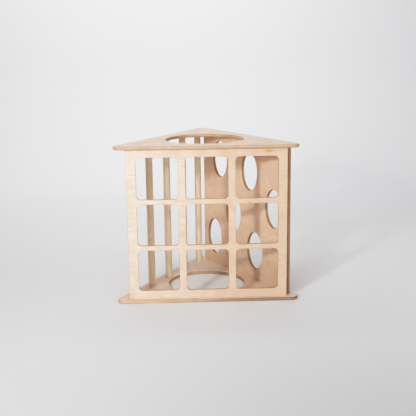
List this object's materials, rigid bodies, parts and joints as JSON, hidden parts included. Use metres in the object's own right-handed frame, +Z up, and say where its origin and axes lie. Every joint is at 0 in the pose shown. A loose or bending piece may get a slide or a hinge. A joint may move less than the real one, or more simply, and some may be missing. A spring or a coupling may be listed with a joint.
{
  "type": "climbing frame",
  "caption": "Free-standing triangular play climbing frame: plywood plates with round openings, a window-grid side, an oval-hole side and a side of upright round bars.",
  "frame": {"origin": "on the floor, under the centre of the box that holds the whole frame", "axes": "+X to the right along the window side, +Y from the window side to the rear corner, +Z up"},
  "size_m": [0.9842, 0.8626, 0.858],
  "materials": {
    "plate_plywood": "clear satin birch plywood, light cream",
    "panel_plywood": "clear satin birch plywood, light cream",
    "rung_wood": "clear satin solid birch or beech bar",
    "pin_wood": "raw beech, glued in"
  },
  "bodies": {
    "root": {"bottom_plate": "plate_plywood", "top_plate": "plate_plywood", "grid_panel": "panel_plywood", "oval_panel": "panel_plywood", "rung_1": "rung_wood", "rung_2": "rung_wood", "rung_3": "rung_wood", "rung_4": "rung_wood", "rung_5": "rung_wood", "grid_panel_lower_pins": "pin_wood", "grid_panel_upper_pins": "pin_wood", "oval_panel_lower_pins": "pin_wood", "oval_panel_upper_pins": "pin_wood"}
  },
  "joints": []
}
